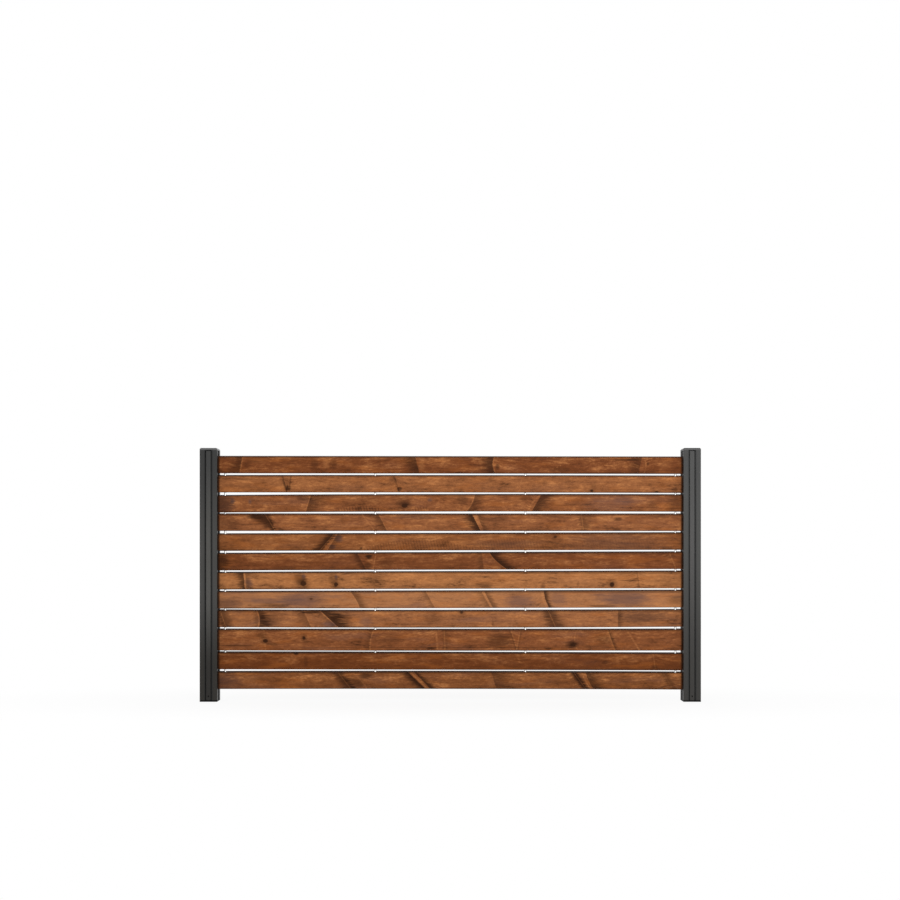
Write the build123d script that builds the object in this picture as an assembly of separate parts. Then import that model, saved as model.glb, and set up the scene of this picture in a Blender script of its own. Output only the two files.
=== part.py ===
from build123d import *
import math
import os

# Rhombus slat fence panel: twelve rhombus slats of stained softwood, stacked on steel spacer
# pins and held at both ends in the grooves of two square aluminium posts.
# Millimetres. X runs along the slats, Z is up, the front faces -Y.
# The origin is on the ground, midway between the posts.

# Panel layout
slat_count = 12
wide_slat = 10                # the one wider slat, counted from the top
pin_columns = 4
clear_width = 1812.0          # between the two posts
ground_clearance = 46.0       # ground to the lowest edge of the bottom slat
post_above_slats = 20.0       # end of the post above the highest edge of the top slat

# Slats
slat_thickness = 21.0
slat_face_height = 65.3       # height of the front face between its two sloping edges
wide_slat_face_height = 81.3
slat_slope = 15.0             # degrees, top and bottom fall towards the front
slat_gap = 10.0               # clear height between two slats
wide_slat_gap = 7.5           # clear height under the wide slat
slat_edge_radius = 2.5
slat_end_gap = 2.0            # slat end to the floor of the post groove
slat_side_clearance = 0.75    # slat face to the groove rib

# Post extrusion
post_size = 68.0
post_wall = 2.0
post_corner_radius = 1.5
groove_depth = 18.0
groove_mouth_bevel = 0.5
rib_height = 1.0              # how far a grip rib stands out of the groove wall
rib_thickness = 1.2
rib_depth = 6.4               # post face to the rib
core_chamber_bevel = 4.0
core_web = 3.0                # least metal between the core and a corner tube

# Cover strips in the front, back and outer grooves
strip_shadow_gap = 3.3        # open line on each side of the strip
strip_wall = 1.6
strip_recess = 0.5            # strip face behind the post face
strip_edge_bevel = 0.5
strip_hook_thickness = 1.2
strip_hook_clearance = 0.3
strip_top_gap = 4.0           # end of the strip under the top cap

# Top and base caps
top_cap_thickness = 8.0
top_cap_bevel = 4.0
base_cap_thickness = 6.0
base_cap_bevel = 0.5
cap_lug_length = 18.0
cap_lug_wall = 1.5
cap_lug_clearance = 0.3
cap_lug_bevel = 0.5

# Spacer pins
pin_diameter = 8.0
pin_socket_depth = 15.0
pin_socket_clearance = 0.3    # on the radius
pin_inset = 26.0              # post face to the outer pin column

# Stop blocks that carry the bottom slat
block_setback = 2.0           # block face behind the post face
block_side_clearance = 0.3    # block side to the groove rib
block_edge_bevel = 0.8

# Countersunk screws through strips and blocks into the groove floor
screw_height = 21.5           # above the ground
screw_length = 22.0
screw_diameter = 2.9
screw_head_diameter = 5.5
screw_head_depth = 1.4
screw_point_length = 2.5
screw_clearance = 0.15        # on the radius

# Pins, screws and their holes repeat many times, so each is drawn with a few sides
pin_sides = 12
socket_sides = 8
screw_sides = 8


def face_height(number):
    """Height of the front face of a slat; number 1 is the top slat."""
    return wide_slat_face_height if number == wide_slat else slat_face_height


def gap_under(number):
    """Clear height between a slat and the next one down."""
    return wide_slat_gap if number == wide_slat else slat_gap


def slat_foot(number):
    """Height of the lowest edge of a slat, with those below it stacked up from the foot."""
    below = range(number + 1, slat_count + 1)
    return ground_clearance + sum(face_height(n) + gap_under(n - 1) for n in below)


# Sizes that follow from the ones above
slat_rise = slat_thickness * math.tan(math.radians(slat_slope))
slat_length = clear_width + 2 * (groove_depth - slat_end_gap)
rib_opening = slat_thickness + 2 * slat_side_clearance
groove_width = rib_opening + 2 * rib_height
groove_floor = post_size / 2 - groove_depth
core_half = groove_floor - post_wall
tube_edge = groove_width / 2 + post_wall
core_bevel = max(core_chamber_bevel, 2 * (core_half - tube_edge) + math.sqrt(2) * core_web)
post_axis = clear_width / 2 + post_size / 2
post_foot = base_cap_thickness
post_head = slat_foot(1) + face_height(1) + slat_rise + post_above_slats
corner_size = (post_size - groove_width) / 2
chamber_size = corner_size - 2 * post_wall
chamber_centre = (post_size - corner_size) / 2
strip_width = groove_width - 2 * strip_shadow_gap
strip_foot = post_foot
strip_head = post_head - strip_top_gap
lug_size = chamber_size - 2 * cap_lug_clearance
pin_reach = clear_width / 2 - pin_inset
block_depth = groove_depth - block_setback
block_width = rib_opening - 2 * block_side_clearance
rib_back = rib_depth + rib_thickness

# Each post: side name, place along X, turn that brings the front groove to the outer face
SIDES = [("left", -post_axis, -90), ("right", post_axis, 90)]

# Shapes built from their low end upwards
STANDING = (Align.CENTER, Align.CENTER, Align.MIN)


def quarter_turns(shape):
    """The shape and its three copies, a quarter turn apart about the post axis."""
    return [Rot(0, 0, 90 * turn) * shape for turn in range(4)]


def corner_places(distance):
    """The four points at this distance from both centre lines of the post."""
    return GridLocations(2 * distance, 2 * distance, 2, 2)


def post_section():
    """Square extrusion with a ribbed groove in each face, four corner tubes and a core."""
    face = post_size / 2
    with BuildSketch() as groove:
        with Locations((0, -face + groove_depth / 2)):
            Rectangle(groove_width, groove_depth)
        with Locations((0, -face + rib_depth + rib_thickness / 2)):
            with GridLocations(groove_width - rib_height, 0, 2, 1):
                Rectangle(rib_height, rib_thickness, mode=Mode.SUBTRACT)
    with BuildSketch() as core:
        Rectangle(2 * core_half, 2 * core_half)
        chamfer(core.vertices(), core_bevel)
    with BuildSketch() as section:
        RectangleRounded(post_size, post_size, post_corner_radius)
        for cut in quarter_turns(groove.sketch):
            add(cut, mode=Mode.SUBTRACT)
        mouth = [v for v in section.vertices() if is_groove_mouth(v)]
        chamfer(mouth, groove_mouth_bevel)
        with corner_places(chamber_centre):
            Rectangle(chamber_size, chamber_size, mode=Mode.SUBTRACT)
        add(core.sketch, mode=Mode.SUBTRACT)
    return section.sketch


def is_groove_mouth(vertex):
    """True at the two edges of a groove on the face of the post."""
    near = sorted((abs(vertex.X), abs(vertex.Y)))
    on_face = math.isclose(near[1], post_size / 2, abs_tol=0.001)
    return on_face and math.isclose(near[0], groove_width / 2, abs_tol=0.001)


def ring(radius, sides):
    """Outline of a pin, a screw or a hole, this far from its centre to each flat."""
    return RegularPolygon(radius, sides, major_radius=False, rotation=180 / sides)


def make_post():
    """One post on its own axis, with a pilot hole for a screw in each groove floor."""
    post = extrude(Pos(0, 0, post_foot) * post_section(), post_head - post_foot)
    pilot = ring(screw_diameter / 2 + screw_clearance, screw_sides)
    pilot = extrude(pilot, post_size / 2, both=True)
    for turn in (0, 90):
        post -= Pos(0, 0, screw_height) * Rot(0, 0, turn) * Rot(90, 0, 0) * pilot
    return post


def strip_section():
    """Channel that stands on the groove floor, with a hook behind each groove rib."""
    face = post_size / 2
    height = groove_depth - strip_recess
    hook_reach = groove_width - 2 * strip_hook_clearance
    with BuildSketch() as section:
        with Locations((0, -face + strip_recess)):
            Rectangle(strip_width, height, align=(Align.CENTER, Align.MIN))
        chamfer(section.vertices().group_by(Axis.Y)[0], strip_edge_bevel)
        with Locations((0, -face + rib_back)):
            Rectangle(hook_reach, strip_hook_thickness, align=(Align.CENTER, Align.MIN))
        with Locations((0, -face + strip_recess + strip_wall)):
            Rectangle(strip_width - 2 * strip_wall, height, align=(Align.CENTER, Align.MIN),
                      mode=Mode.SUBTRACT)
    return section.sketch


def screw_form(clearance):
    """Countersunk head and shank along +Z from the face of the head, grown by a clearance."""
    head = ring(screw_head_diameter / 2 + clearance, screw_sides)
    shank = ring(screw_diameter / 2 + clearance, screw_sides)
    taper = loft([head, Pos(0, 0, screw_head_depth) * shank])
    return taper + extrude(shank, screw_length - screw_point_length)


def on_front(setback):
    """Turns a screw inwards, with its head this far behind the front face of the post."""
    return Pos(0, setback - post_size / 2, screw_height) * Rot(-90, 0, 0)


def make_strip():
    """Cover strip for the front groove, on the post axis."""
    strip = extrude(Pos(0, 0, strip_foot) * strip_section(), strip_head - strip_foot)
    return strip - on_front(strip_recess) * screw_form(screw_clearance)


def make_block():
    """Stop block in the left post's inner groove, its top sloped like the slat's underside."""
    half = block_width / 2
    fall = half * math.tan(math.radians(slat_slope))
    top_middle = ground_clearance + slat_rise / 2
    with BuildSketch(Plane.YZ.offset(groove_floor)) as outline:
        with BuildLine():
            Polyline((-half, post_foot), (half, post_foot), (half, top_middle + fall),
                     (-half, top_middle - fall), close=True)
        make_face()
    block = extrude(outline.sketch, block_depth)
    block = chamfer(block.faces().sort_by(Axis.X)[-1].edges(), block_edge_bevel)
    return block - Rot(0, 0, 90) * on_front(block_setback) * screw_form(screw_clearance)


def make_screw(setback):
    """Pointed countersunk screw in the front face, its head this far behind the face."""
    start = screw_length - screw_point_length
    shank = Pos(0, 0, start) * ring(screw_diameter / 2, screw_sides)
    point = loft([shank, Vertex(0, 0, screw_length)])
    return on_front(setback) * (screw_form(0) + point)


def make_lug():
    """Square plug of one corner chamber, open at its end, standing up from the ground plane."""
    hollow = lug_size - 2 * cap_lug_wall
    lug = Box(lug_size, lug_size, cap_lug_length, align=STANDING)
    lug = chamfer(lug.edges().filter_by(Axis.Z), cap_lug_bevel)
    return lug - Box(hollow, hollow, cap_lug_length, align=STANDING)


def make_cap(thickness, bevel):
    """Cap lying on its bevelled outer face, with the four lugs standing up from it."""
    plate = Box(post_size, post_size, thickness, align=STANDING)
    plate = chamfer(plate.faces().sort_by(Axis.Z)[0].edges(), bevel)
    plate = fillet(plate.edges().filter_by(Axis.Z), post_corner_radius)
    lug = make_lug()
    for place in corner_places(chamber_centre):
        plate += place * Pos(0, 0, thickness) * lug
    return plate


def slat_section(face):
    """Rhombus section of this face height, its lowest edge level with the ground plane."""
    half = slat_thickness / 2
    with BuildSketch(Plane.YZ) as section:
        with BuildLine():
            Polyline((-half, 0), (half, slat_rise), (half, slat_rise + face), (-half, face),
                     close=True)
        make_face()
        fillet(section.vertices(), slat_edge_radius)
    return section.sketch


def pin_places():
    """X positions of the pin columns, evenly spaced between the outer two."""
    step = 2 * pin_reach / (pin_columns - 1)
    return [-pin_reach + step * column for column in range(pin_columns)]


def make_slat(face, sockets_above, sockets_below):
    """Slat with the blind sockets that its neighbours' pins stand in."""
    slat = extrude(slat_section(face), slat_length / 2, both=True)
    socket = ring(pin_diameter / 2 + pin_socket_clearance, socket_sides)
    socket = extrude(socket, pin_socket_depth, both=True)
    underside = slat_rise / 2
    for x in pin_places():
        if sockets_above:
            slat -= Pos(x, 0, underside + face) * socket
        if sockets_below:
            slat -= Pos(x, 0, underside) * socket
    return slat


def make_pins(gap):
    """One row of pins that bridge a gap, with an end in the slat above and in the one below."""
    pin = extrude(ring(pin_diameter / 2, pin_sides), gap / 2 + pin_socket_depth, both=True)
    return [Pos(x, 0, 0) * pin for x in pin_places()]


def save(node, shape):
    """Write one node's solid, or its group of like solids."""
    export_step(shape, os.path.join("parts", node + ".step"))


def build_posts():
    """Posts with their strips, caps, stop blocks and screws."""
    post = make_post()
    strip = make_strip()
    block = make_block()
    base_cap = make_cap(base_cap_thickness, base_cap_bevel)
    top_cap = Pos(0, 0, post_head + top_cap_thickness) * Rot(180, 0, 0)
    top_cap = top_cap * make_cap(top_cap_thickness, top_cap_bevel)
    for side, x, outward in SIDES:
        place = Pos(x, 0, 0)
        covered = {"front": 0, "outer": outward, "back": 180}
        save("post_" + side, place * post)
        save("base_cap_" + side, place * base_cap)
        save("top_cap_" + side, place * top_cap)
        inner_block = block if side == "left" else mirror(block, Plane.YZ)
        save("stop_block_" + side, place * inner_block)
        screws = []
        for face, turn in covered.items():
            save(face + "_strip_" + side, place * Rot(0, 0, turn) * strip)
            screws.append(place * Rot(0, 0, turn) * make_screw(strip_recess))
        screws.append(place * Rot(0, 0, -outward) * make_screw(block_setback))
        save("screws_" + side, Compound(children=screws))


def build_slats():
    """Slats from the top down, with a row of spacer pins under each but the last."""
    kinds = {}
    for number in range(1, slat_count + 1):
        kind = (face_height(number), number > 1, number < slat_count)
        if kind not in kinds:
            kinds[kind] = make_slat(*kind)
        save(f"slat_{number:02d}", Pos(0, 0, slat_foot(number)) * kinds[kind])
    for number in range(1, slat_count):
        gap = gap_under(number)
        middle = slat_foot(number) + slat_rise / 2 - gap / 2
        row = [Pos(0, 0, middle) * pin for pin in make_pins(gap)]
        save(f"spacer_pins_{number:02d}", Compound(children=row))


os.makedirs("parts", exist_ok=True)
build_posts()
build_slats()
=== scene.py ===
# %% [markdown]
# # A rhombus slat fence panel
#
# This lesson dresses a fence panel: twelve stained softwood slats, stacked on bright steel pins
# between two anthracite aluminium posts. The solid pieces come ready made, at their real size,
# so most of the work is in the finishes: a good fence is a study in wood and powder coat.

# %% Load the panel
import math

import bpy
import bmesh
from mathutils import Matrix, Vector


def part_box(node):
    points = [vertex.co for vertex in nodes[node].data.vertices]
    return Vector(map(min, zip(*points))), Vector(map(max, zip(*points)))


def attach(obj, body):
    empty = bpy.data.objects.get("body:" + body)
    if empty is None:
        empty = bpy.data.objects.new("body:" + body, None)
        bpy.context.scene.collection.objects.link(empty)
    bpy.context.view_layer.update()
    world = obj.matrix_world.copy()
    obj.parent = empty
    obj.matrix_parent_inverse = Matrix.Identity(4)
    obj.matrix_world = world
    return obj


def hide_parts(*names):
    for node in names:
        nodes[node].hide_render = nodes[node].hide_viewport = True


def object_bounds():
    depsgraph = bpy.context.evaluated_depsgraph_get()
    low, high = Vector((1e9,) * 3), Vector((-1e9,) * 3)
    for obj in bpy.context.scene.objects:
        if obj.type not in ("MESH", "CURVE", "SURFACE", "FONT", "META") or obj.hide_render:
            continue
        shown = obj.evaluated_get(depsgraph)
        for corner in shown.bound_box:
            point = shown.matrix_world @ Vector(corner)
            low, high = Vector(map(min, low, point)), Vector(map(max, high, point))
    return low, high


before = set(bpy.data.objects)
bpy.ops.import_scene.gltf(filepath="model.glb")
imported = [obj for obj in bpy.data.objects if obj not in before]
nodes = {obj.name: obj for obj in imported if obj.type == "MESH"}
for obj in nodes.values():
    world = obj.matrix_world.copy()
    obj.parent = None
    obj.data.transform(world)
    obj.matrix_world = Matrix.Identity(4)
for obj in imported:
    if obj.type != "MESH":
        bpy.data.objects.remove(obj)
solid_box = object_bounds()
print("pieces loaded:", len(nodes))
print("panel box in metres:", [[round(v, 3) for v in corner] for corner in solid_box])

# %% [markdown]
# ## Colours as they are seen
#
# A paint chart or a colour picker gives sRGB numbers from 0 to 255, but shaders count light.
# One small helper turns the first into the second, so every colour below can be written the
# way the eye reads it.

# %% Colour helper
def paint(red, green, blue):
    """Light values of an sRGB colour, with alpha."""
    def light(level):
        level /= 255
        return level / 12.92 if level <= 0.04045 else ((level + 0.055) / 1.055) ** 2.4
    return (light(red), light(green), light(blue), 1.0)


print("mid brown as light:", [round(v, 3) for v in paint(138, 86, 53)])

# %% [markdown]
# ## Shader maths that reads like maths
#
# A material is a tree of nodes, and wiring nodes one by one hides the idea. Here one class
# wraps a socket. Adding or multiplying two wrapped sockets adds the Math node for it, and
# `1 - mask` works too. Every other kind of node comes from the method `node`, which takes the
# node's settings first and then what goes into its sockets.

# %% A wire of a shader
class Wire:
    """One socket of a shader tree."""

    def __init__(self, tree, socket=None):
        self.tree = tree
        self.socket = socket

    def node(self, kind, settings=None, inputs=None, out=0):
        """Any node: settings first, then values or wires for its sockets."""
        made = self.tree.nodes.new(kind)
        for name, value in (settings or {}).items():
            setattr(made, name, value)
        for key, value in (inputs or {}).items():
            if isinstance(value, Wire):
                self.tree.links.new(value.socket, made.inputs[key])
            else:
                made.inputs[key].default_value = value
        return Wire(self.tree, made.outputs[out])

    def math(self, operation, *values):
        """A Math node with these numbers or wires in its sockets."""
        sockets = dict(enumerate(values))
        return self.node("ShaderNodeMath", {"operation": operation}, sockets)

    def __add__(self, other):
        return self.math("ADD", self, other)

    def __radd__(self, other):
        return self.math("ADD", other, self)

    def __sub__(self, other):
        return self.math("SUBTRACT", self, other)

    def __rsub__(self, other):
        return self.math("SUBTRACT", other, self)

    def __mul__(self, other):
        return self.math("MULTIPLY", self, other)

    def __rmul__(self, other):
        return self.math("MULTIPLY", other, self)

    def __truediv__(self, other):
        return self.math("DIVIDE", self, other)

    def __rtruediv__(self, other):
        return self.math("DIVIDE", other, self)

    def __abs__(self):
        return self.math("ABSOLUTE", self)

# %% [markdown]
# A few shapes of curve come back in every finish: a soft step from one value to another, a
# soft hump around zero, and the length of a vector given by its parts. Noise comes in two
# forms: as it is, from 0 to 1, and as a swing to both sides of zero. They are ordinary
# functions on wires, so they can be named for what they do.

# %% Curves on wires
def step(value, low, high, start=0.0, end=1.0):
    """A soft step: start below low, end above high."""
    ends = {"Value": value, "From Min": low, "From Max": high, "To Min": start, "To Max": end}
    return value.node("ShaderNodeMapRange", {"interpolation_type": "SMOOTHSTEP"}, ends)


def hump(value, width):
    """One where the value is nought, falling softly to nought at the width on both sides."""
    return step(abs(value), 0.0, width, 1.0, 0.0)


def length(*parts):
    """Length of the vector with these parts."""
    total = parts[0] * parts[0]
    for part in parts[1:]:
        total = total + part * part
    return total.math("SQRT", total)


def vector(x, y, z):
    """A vector wire from three values, at least one of them a wire."""
    wire = next(part for part in (x, y, z) if isinstance(part, Wire))
    return wire.node("ShaderNodeCombineXYZ", None, {"X": x, "Y": y, "Z": z})


def noise(x, y, z, detail=2.0, rough=0.5):
    """Smooth random values from 0 to 1, mostly near a half."""
    where = vector(x, y, z)
    sockets = {"Vector": where, "Scale": 1.0, "Detail": detail, "Roughness": rough}
    return where.node("ShaderNodeTexNoise", {"noise_dimensions": "3D"}, sockets)


def swing(x, y, z, detail=2.0, rough=0.5):
    """Smooth random values to both sides of nought, mostly within a half."""
    return (noise(x, y, z, detail, rough) - 0.5) * 4.0


def mix_colour(share, first, second):
    """The first colour, going over to the second as the share goes to one."""
    return share.node("ShaderNodeMix", {"data_type": "RGBA"}, {0: share, 6: first, 7: second}, 2)


def shade(colour, amount):
    """A colour wire made lighter or darker by a factor."""
    sockets = {0: colour, "Scale": amount}
    return colour.node("ShaderNodeVectorMath", {"operation": "SCALE"}, sockets)


def deeper(colour, factor):
    """A plain colour made darker by a factor."""
    return tuple(factor * part for part in colour[:3]) + (1.0,)

# %% [markdown]
# Every finish starts from the same place: a material with a Principled shader, and the point
# of the surface in millimetres. The pieces are all drawn from the origin of the panel, so
# Object coordinates are the panel's own, and a streak can be put where it belongs.

# %% Start and end of a material
def start_material(name, shine):
    """A material, its shader, and the surface point's x, y and z in millimetres."""
    material = bpy.data.materials.new(name)
    material.use_nodes = True
    tree = material.node_tree
    shader = tree.nodes["Principled BSDF"]
    shader.inputs["Specular IOR Level"].default_value = shine
    place = Wire(tree).node("ShaderNodeTexCoord", out="Object")
    split = tree.nodes.new("ShaderNodeSeparateXYZ")
    tree.links.new(place.socket, split.inputs[0])
    return material, shader, [Wire(tree, split.outputs[axis]) * 1000.0 for axis in "XYZ"]


def connect(shader, colour, roughness, height, depth):
    """Feed the shader: colour, roughness, and a height in units of depth metres."""
    tree = shader.id_data
    tree.links.new(colour.socket, shader.inputs["Base Color"])
    tree.links.new(roughness.socket, shader.inputs["Roughness"])
    bump = height.node("ShaderNodeBump", None, {"Height": height, "Distance": depth})
    tree.links.new(bump.socket, shader.inputs["Normal"])


def wear(node_name, material):
    """Give a ready-made piece this material."""
    mesh = nodes[node_name].data
    mesh.materials.clear()
    mesh.materials.append(material)


def finish_piece(name, mesh, material, node, smooth_angle=35):
    """Make a mesh into a named piece that stands for a ready-made one."""
    data = bpy.data.meshes.new(name)
    mesh.to_mesh(data)
    mesh.free()
    data.materials.clear()
    data.materials.append(material)
    data.shade_smooth()
    data.set_sharp_from_angle(angle=math.radians(smooth_angle))
    piece = bpy.data.objects.new(name, data)
    bpy.context.scene.collection.objects.link(piece)
    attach(piece, "root")
    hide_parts(node)
    return piece

# %% [markdown]
# ## Powder coat on the posts
#
# The posts and their cover strips are aluminium under anthracite powder coat. Powder melts
# into a skin that is never quite flat: it has a fine orange peel of about half a millimetre,
# and tiny lighter grains. It is a paint and not bare metal, so the shader stays non-metallic,
# with a broad soft gloss. Painted shade makes the coat lightest at mid height, darker towards
# the top, and darker and browner below knee height. More painted shade darkens the open lines
# beside the strips, the inner faces along the slats, and the coat with its depth in a groove.

# %% Powder coat
GROUND_SHADE_START = 120.0
GROUND_SHADE_END = {"left": 430.0, "right": 640.0}
SHOULDER_START = 620.0
SHOULDER_END = 940.0
# Painted shade on the inner faces of the posts beside the slats, per side.
SHADE_BESIDE_SLATS = {"left": 0.7, "right": 0.4}
OPEN_LINE_HALF = 1.65
PEEL_DEPTH = 0.00006
post_low, post_high = (corner * 1000 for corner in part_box("post_right"))
INNER_FACE = post_low.x
POST_HALF = (post_high.x - post_low.x) / 2
POST_AXIS = (post_high.x + post_low.x) / 2
SLATS_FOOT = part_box("slat_12")[0].z * 1000
SLATS_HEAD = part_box("slat_01")[1].z * 1000
strip_low, strip_high = (corner * 1000 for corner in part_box("front_strip_right"))
STRIP_HALF = (strip_high.x - strip_low.x) / 2


def groove_painted_shade(x, y, z, inner_shade):
    """Painted shade: lightness lowered in the grooves, beside the strips and on the inner faces
    beside the slats.
    """
    across = abs(abs(x) - POST_AXIS)
    depth = POST_HALF - across.math("MAXIMUM", across, abs(y))
    in_groove = step(depth, 0.8, 5.0, 1.0, 0.18)
    line = abs(across.math("MINIMUM", across, abs(y)) - (STRIP_HALF + OPEN_LINE_HALF))
    beside_strip = step(line, OPEN_LINE_HALF, 4.8, 0.32, 1.0)
    inner = step(abs(x), INNER_FACE + 0.3, INNER_FACE + 1.2, 1.0, 0.0)
    above_foot = step(z, SLATS_FOOT - 2.0, SLATS_FOOT + 8.0)
    below_head = step(z, SLATS_HEAD, SLATS_HEAD + 8.0, 1.0, 0.0)
    return in_groove * beside_strip * (1.0 - inner * (above_foot * below_head) * inner_shade)


def powder_coat(piece, side, head, middle, foot, grain_seed):
    """Anthracite paint with painted shade: three tones, at the top, at mid height and near the
    ground.
    """
    material, shader, (x, y, z) = start_material(f"powder_coat_{piece}_{side}", 0.3)
    peel = noise((x + grain_seed) * 1.6, y * 1.6, z * 1.6, 2.0, 0.6)
    grain = noise((x + grain_seed) * 4.0, y * 4.0, z * 4.0, 2.0, 0.7)
    cloud = swing((x + grain_seed) * 0.01, y * 0.01, z * 0.006, 3.0)
    scuff = swing((x + grain_seed) * 0.25, y * 0.25, z * 0.012, 3.0, 0.6)
    # Painted shade: the coat goes darker and browner near the ground, and darker towards the top.
    colour = mix_colour(step(z, GROUND_SHADE_START, GROUND_SHADE_END[side]), foot, middle)
    colour = mix_colour(step(z, SHOULDER_START, SHOULDER_END), colour, head)
    level = 1.0 + cloud * 0.10 + scuff * 0.06 + step(grain, 0.58, 0.72) * 0.3
    # Painted shade in the grooves, in the open lines beside the strips and beside the slats.
    level = level * groove_painted_shade(x, y, z, SHADE_BESIDE_SLATS[side])
    gloss = 0.46 + (peel - 0.5) * 0.16 + cloud * 0.04
    connect(shader, shade(colour, level), gloss, peel + grain * 0.4, PEEL_DEPTH)
    return material


coats = {
    ("post", "left"): (paint(45, 45, 44), paint(61, 60, 58), paint(32, 29, 24), 0.0),
    ("post", "right"): (paint(50, 50, 49), paint(57, 57, 55), paint(41, 39, 36), 2500.0),
    ("strip", "left"): (paint(52, 52, 51), paint(74, 73, 70), paint(27, 24, 20), 5100.0),
    ("strip", "right"): (paint(58, 58, 57), paint(66, 65, 64), paint(42, 40, 37), 7300.0),
}
faces = {"post": ("",), "strip": ("front_", "back_", "outer_")}
for (piece, side), tones in coats.items():
    coat = powder_coat(piece, side, *tones)
    for face in faces[piece]:
        wear(f"{face}{piece}_{side}", coat)
print("powder coats mixed:", len(coats), "post half width in mm:", round(POST_HALF, 1))

# %% [markdown]
# ## Moulded caps
#
# The top caps are moulded plastic in nearly the same grey, glossy enough that their bevelled
# rim catches the sky. The left cap is given a lighter grey than the right: painted light on the
# same plastic. The base caps and the stop blocks are plain matt black. Both have the
# even fine grain that is etched into a mould.

# %% Moulded plastic
ETCH_DEPTH = 0.00006


def moulded_plastic(name, colour, roughness, shine):
    """Plastic from a finely etched mould, with faint flow clouds."""
    material, shader, (x, y, z) = start_material(name, shine)
    etch = noise(x * 3.2, y * 3.2, z * 3.2, 2.0, 0.65)
    flow = noise(x * 0.03, y * 0.03, z * 0.03)
    mixed = mix_colour(flow, colour, deeper(colour, 0.72))
    tone = shade(mixed, 0.9 + etch * 0.3)
    connect(shader, tone, roughness + (etch - 0.5) * 0.2, etch, ETCH_DEPTH)
    return material


# The left cap's lighter grey is painted light: both caps are the same plastic.
cap_plastic = {
    "left": moulded_plastic("moulded_top_cap_left", paint(72, 72, 72), 0.28, 0.9),
    "right": moulded_plastic("moulded_top_cap_right", paint(46, 46, 46), 0.34, 0.4),
}
base_plastic = moulded_plastic("moulded_black", paint(9, 9, 9), 0.6, 0.08)
for side in ("left", "right"):
    wear(f"top_cap_{side}", cap_plastic[side])
    wear(f"base_cap_{side}", base_plastic)
    wear(f"stop_block_{side}", base_plastic)
print("moulded in plastic: two top caps, two base caps, two stop blocks")

# %% [markdown]
# ## Bright pins
#
# The spacer pins are turned from bright steel, 8 mm thick, and show only in the gaps between
# the slats. The ready-made ones have twelve flat sides, so each row is replaced by one mesh of
# smooth pins with bevelled ends. A pin is a profile of a few points, turned about its axis.

# %% Turn a profile
TURNING_STEPS = 40


def turn_profile(mesh, points, place):
    """Turn a profile of (radius, height) points about Z, in place; returns its rings."""
    turned = []
    for radius, height in points:
        ring = []
        for number in range(TURNING_STEPS):
            angle = 2 * math.pi * number / TURNING_STEPS
            spot = Vector((radius * math.cos(angle), radius * math.sin(angle), height))
            ring.append(mesh.verts.new(place @ spot))
        turned.append(ring)
    for low, high in zip(turned, turned[1:]):
        for a in range(TURNING_STEPS):
            b = (a + 1) % TURNING_STEPS
            mesh.faces.new((low[a], low[b], high[b], high[a]))
    return turned


print("sides of a turned piece:", TURNING_STEPS)

# %% [markdown]
# Steel is the one bare metal here, so its shader is metallic, and its colour is what it mirrors.
# A lathe leaves rings round the piece: noise squeezed along the axis makes them, and they roughen
# the shine a little. The same recipe, nearly black, will serve for the screws.

# %% Bright steel
TOOL_RING_DEPTH = 0.00002


def turned_steel(name, colour, roughness):
    """Turned steel, with fine rings round the piece and a little haze."""
    material, shader, (x, y, z) = start_material(name, 0.5)
    tool_rings = noise(x * 0.3, y * 0.3, z * 6.0, 2.0, 0.6)
    haze = noise(x * 0.15, y * 0.15, z * 0.15)
    tone = mix_colour(haze, colour, deeper(colour, 0.86))
    connect(shader, tone, roughness + tool_rings * 0.12, tool_rings, TOOL_RING_DEPTH)
    shader.inputs["Metallic"].default_value = 1.0
    return material


pin_steel = turned_steel("bright_pin_steel", paint(250, 250, 248), 0.42)
PIN_COLUMNS = 4
PIN_BEVEL = 0.0008
rows = [name for name in sorted(nodes) if name.startswith("spacer_pins_")]
for row in rows:
    low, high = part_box(row)
    radius = (high.y - low.y) / 2
    reach = high.x - low.x - 2 * radius
    top = high.z - low.z
    profile = [(radius - PIN_BEVEL, 0.0), (radius, PIN_BEVEL), (radius, top - PIN_BEVEL),
               (radius - PIN_BEVEL, top)]
    mesh = bmesh.new()
    for column in range(PIN_COLUMNS):
        x = low.x + radius + reach * column / (PIN_COLUMNS - 1)
        turned = turn_profile(mesh, profile, Matrix.Translation((x, 0.0, low.z)))
        mesh.faces.new(turned[0])
        mesh.faces.new(turned[-1])
    bmesh.ops.recalc_face_normals(mesh, faces=mesh.faces)
    finish_piece(row.replace("spacer", "turned"), mesh, pin_steel, row)
print("rows of pins turned:", len(rows), "pin radius in mm:", round(radius * 1000, 2))

# %% [markdown]
# ## Screws
#
# Each post holds four countersunk screws low down: one through each cover strip and one
# through the stop block. Only the heads show, so the head gets its cross recess, cut as real
# geometry, and the shank a plain thread of stacked cones, which is all a hidden screw needs.

# %% Screw geometry
HEAD_RADIUS = 0.00275
HEAD_DEPTH = 0.0014
CORE_RADIUS = 0.00105
THREAD_RADIUS = 0.00145
THREAD_PITCH = 0.0011
SCREW_LENGTH = 0.022
POINT_LENGTH = 0.0025
TIP_RADIUS = 0.0001
RECESS_REACH = 0.0014
RECESS_WIDTH = 0.0004
RECESS_DEPTH = 0.0009
RECESS_TAPER = 0.7


def screw_profile():
    """Half outline of a countersunk wood screw from its point up to the rim of its head."""
    start = SCREW_LENGTH - POINT_LENGTH
    points = [(TIP_RADIUS, SCREW_LENGTH), (CORE_RADIUS, start)]
    for turn in range(int((start - HEAD_DEPTH) / THREAD_PITCH) - 1):
        height = start - turn * THREAD_PITCH
        points.append((THREAD_RADIUS, height - THREAD_PITCH / 2))
        points.append((CORE_RADIUS, height - THREAD_PITCH))
    return points + [(CORE_RADIUS, HEAD_DEPTH), (HEAD_RADIUS, 0.0)]


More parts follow.
